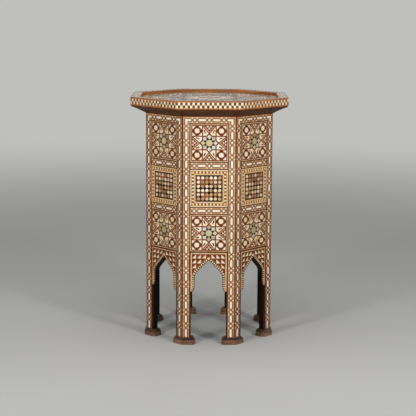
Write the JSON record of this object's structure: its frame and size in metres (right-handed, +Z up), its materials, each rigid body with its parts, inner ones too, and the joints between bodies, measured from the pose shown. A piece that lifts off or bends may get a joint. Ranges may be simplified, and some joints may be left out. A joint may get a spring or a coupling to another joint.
{
  "type": "inlaid octagonal side table",
  "caption": "Octagonal wooden side table with a sunken rimmed top, inlaid star, mosaic and chain panels on every side, and pointed arches between its legs.",
  "frame": {"origin": "centre of the table on the floor, under the middle of its feet", "axes": "+Z up, -Y towards the front side, +X to its right; the flat sides face the axes and the diagonals"},
  "size_m": [0.424, 0.424, 0.66],
  "materials": {
    "walnut": "dark polished walnut",
    "rim_wood": "amber polished walnut",
    "tan_wood": "pale brown polished fruitwood",
    "gold_wood": "golden polished lemonwood",
    "red_wood": "red-brown polished rosewood",
    "dark_wood": "near-black polished ebony",
    "bone": "polished cream bone",
    "pearl": "polished mother-of-pearl",
    "beech": "plain turned beech",
    "steel": "plain steel"
  },
  "bodies": {
    "root": {"side_board_1": "walnut", "side_board_2": "walnut", "side_board_3": "walnut", "side_board_4": "walnut", "side_board_5": "walnut", "side_board_6": "walnut", "side_board_7": "walnut", "side_board_8": "walnut", "foot_1": "walnut", "foot_2": "walnut", "foot_3": "walnut", "foot_4": "walnut", "foot_5": "walnut", "foot_6": "walnut", "foot_7": "walnut", "foot_8": "walnut", "cornice_1": "walnut", "cornice_2": "walnut", "cornice_3": "walnut", "cornice_4": "walnut", "cornice_5": "walnut", "cornice_6": "walnut", "cornice_7": "walnut", "cornice_8": "walnut", "corner_block_1": "walnut", "corner_block_2": "walnut", "corner_block_3": "walnut", "corner_block_4": "walnut", "corner_block_5": "walnut", "corner_block_6": "walnut", "corner_block_7": "walnut", "corner_block_8": "walnut", "top_board": "walnut", "rim_1": "rim_wood", "rim_2": "rim_wood", "rim_3": "rim_wood", "rim_4": "rim_wood", "rim_5": "rim_wood", "rim_6": "rim_wood", "rim_7": "rim_wood", "rim_8": "rim_wood", "stile_bands": "tan_wood", "top_bands": "tan_wood", "cross_bands": "tan_wood", "rim_bands": "tan_wood", "top_marquetry": "tan_wood", "mosaic_frames": "gold_wood", "arch_strings": "gold_wood", "spandrel_panels": "red_wood", "upper_star_panels": "red_wood", "lower_star_panels": "red_wood", "string_lines": "dark_wood", "edge_bands": "bone", "mosaic_panels": "pearl", "foot_dowels": "beech", "top_screws": "steel"}
  },
  "joints": []
}
